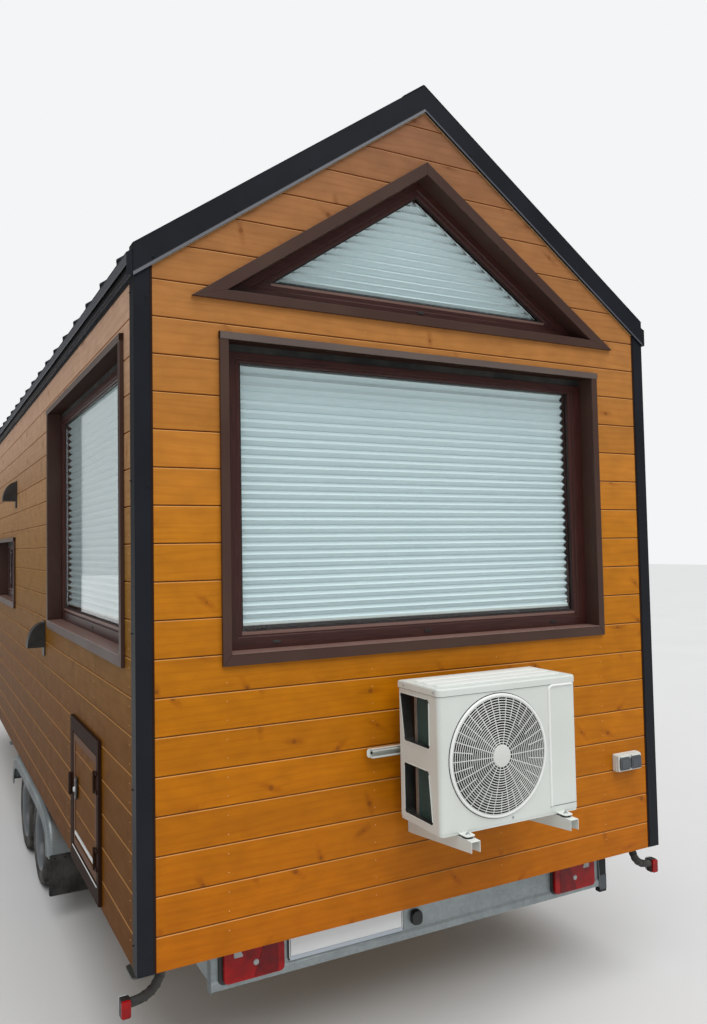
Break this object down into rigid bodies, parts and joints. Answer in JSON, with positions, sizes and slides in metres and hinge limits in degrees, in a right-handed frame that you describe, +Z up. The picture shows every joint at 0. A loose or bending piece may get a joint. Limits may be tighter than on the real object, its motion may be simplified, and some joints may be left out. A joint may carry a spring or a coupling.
{
  "type": "tiny house on wheels",
  "caption": "Boarded tiny house on a two-axle trailer with a steep seamed metal roof, gable windows, a hinged service hatch and an outdoor air conditioning unit.",
  "frame": {"origin": "middle of the part's box at floor level", "axes": "+X to the right across the pictured rear gable, +Y along the house from the rear gable towards the drawbar, +Z up"},
  "size_m": [2.696, 8.155, 3.9834],
  "materials": {
    "galvanised": "satin",
    "coupling_steel": "satin",
    "tyre_rubber": "matte",
    "flap_rubber": "matte",
    "rim_steel": "satin",
    "stained_wood": "satin",
    "plain_wood": "matte",
    "brown_wood": "satin",
    "anthracite_metal": "satin",
    "roof_metal": "satin",
    "glazing": "gloss",
    "blind_fabric": "matte",
    "white_metal": "satin",
    "white_plastic": "satin",
    "dark_metal": "satin",
    "lamp_red": "gloss"
  },
  "bodies": {
    "house": {"chassis_rails": "galvanised", "chassis_crossbars": "galvanised", "rear_beam": "galvanised", "drawbar": "galvanised", "coupling": "coupling_steel", "stands": "galvanised", "axles": "galvanised", "tyres": "tyre_rubber", "wheel_rims": "rim_steel", "mudguard_left": "galvanised", "mudguard_right": "galvanised", "mudflaps": "flap_rubber", "floor": "plain_wood", "wall_rear": "stained_wood", "wall_front": "stained_wood", "wall_left": "stained_wood", "wall_left_low": "stained_wood", "wall_right": "stained_wood", "roof_left": "plain_wood", "roof_right": "plain_wood", "roof_sheet_left": "roof_metal", "roof_sheet_right": "roof_metal", "ridge_cap": "roof_metal", "verge_trims": "anthracite_metal", "eave_trims": "anthracite_metal", "corner_trims": "anthracite_metal", "end_casings": "brown_wood", "end_frames": "brown_wood", "end_glass": "glazing", "blinds": "blind_fabric", "side_casings": "brown_wood", "side_frames": "brown_wood", "side_glass": "glazing", "entry_door": "brown_wood", "hatch_casing": "brown_wood", "unit_housing": "white_metal", "unit_guard": "white_plastic", "unit_bracket": "white_metal", "outdoor_socket": "white_plastic", "wall_lamps": "dark_metal", "tail_lamps": "lamp_red", "number_plate": "white_plastic", "marker_lamps": "lamp_red"},
    "hatch": {"hatch_leaf": "brown_wood", "hatch_lock": "dark_metal"}
  },
  "joints": [
    {"name": "hatch_hinge", "type": "hinge", "parent": "house", "child": "hatch", "pos_m": [-1.272, -3.0635, 0.927], "axis": [0, 0, 1], "range_deg": [0, 110]}
  ]
}
